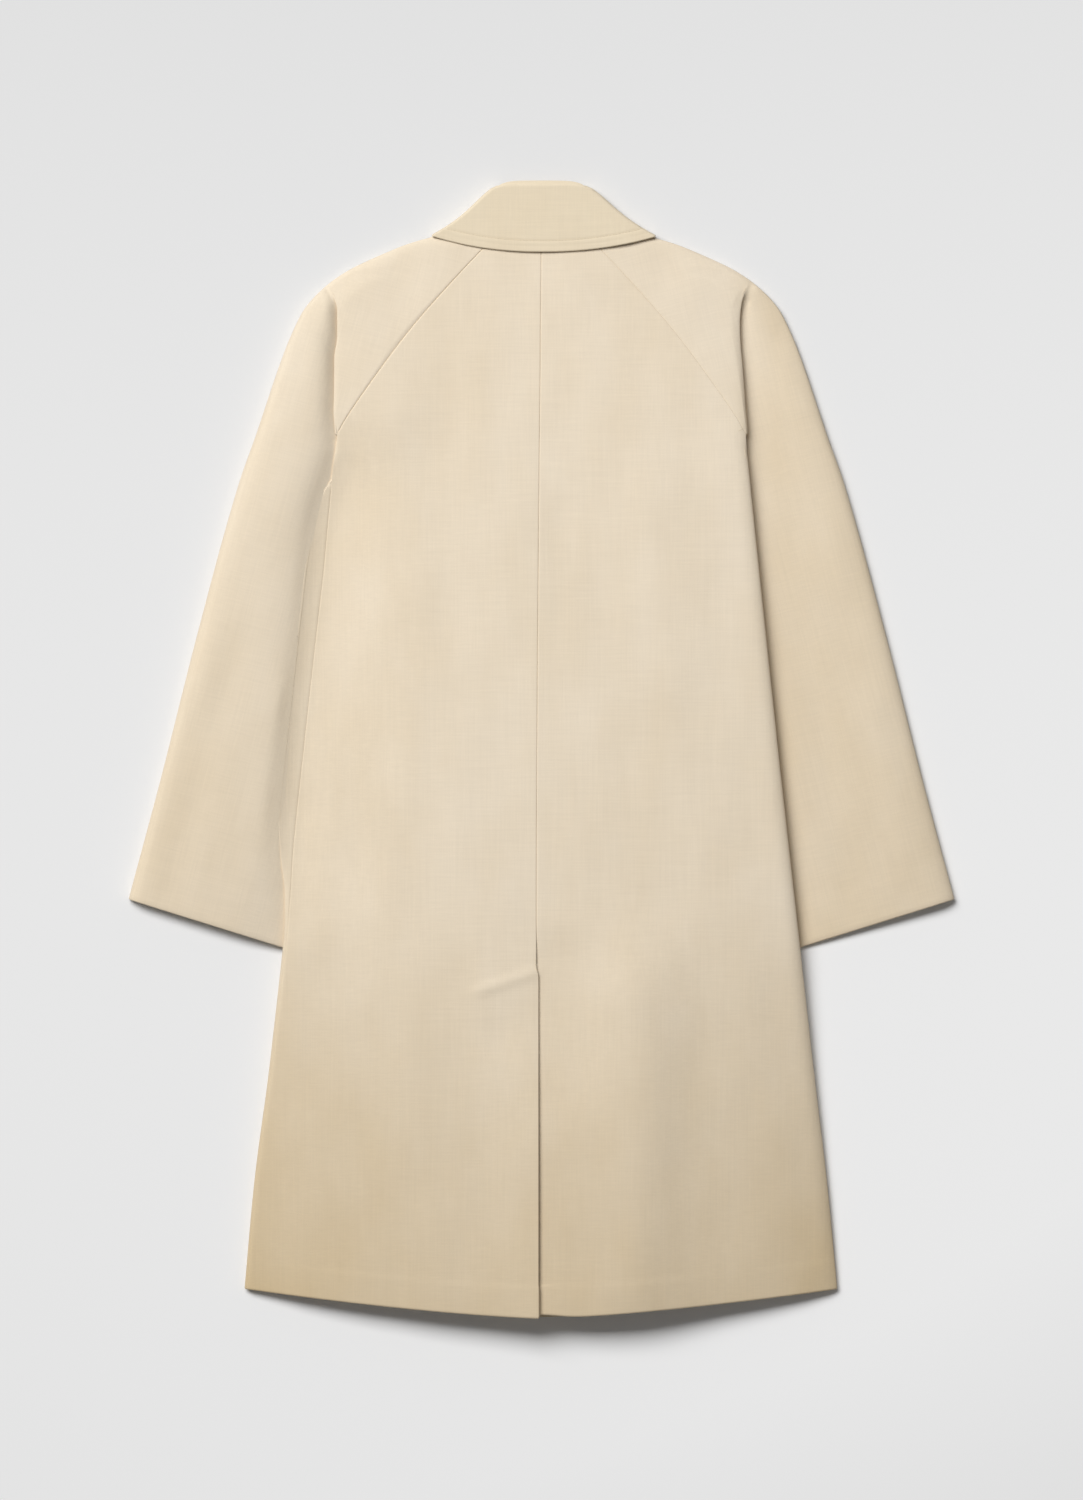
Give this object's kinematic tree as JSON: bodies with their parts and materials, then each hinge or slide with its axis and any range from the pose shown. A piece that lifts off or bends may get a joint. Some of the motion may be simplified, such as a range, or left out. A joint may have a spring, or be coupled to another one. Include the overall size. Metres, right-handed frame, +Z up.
{
  "type": "car coat",
  "caption": "Knee-length raglan car coat in beige cotton, lying flat with its back up, with a turned-down collar and a centre-back vent.",
  "frame": {"origin": "on the floor under the middle of the bounding box", "axes": "+Y towards the collar, +Z up out of the coat's back, +X towards the wearer's right"},
  "size_m": [0.828, 1.136, 0.0365],
  "materials": {
    "coat_cloth": "matte beige cotton with a fine slubby weave",
    "collar_cloth": "matte beige cotton, doubled and topstitched"
  },
  "bodies": {
    "root": {"back_left": "coat_cloth", "back_right": "coat_cloth", "front_left": "coat_cloth", "front_right": "coat_cloth", "sleeve_back_left": "coat_cloth", "sleeve_back_right": "coat_cloth", "sleeve_front_left": "coat_cloth", "sleeve_front_right": "coat_cloth", "collar_fall": "collar_cloth", "collar_stand": "collar_cloth"}
  },
  "joints": []
}
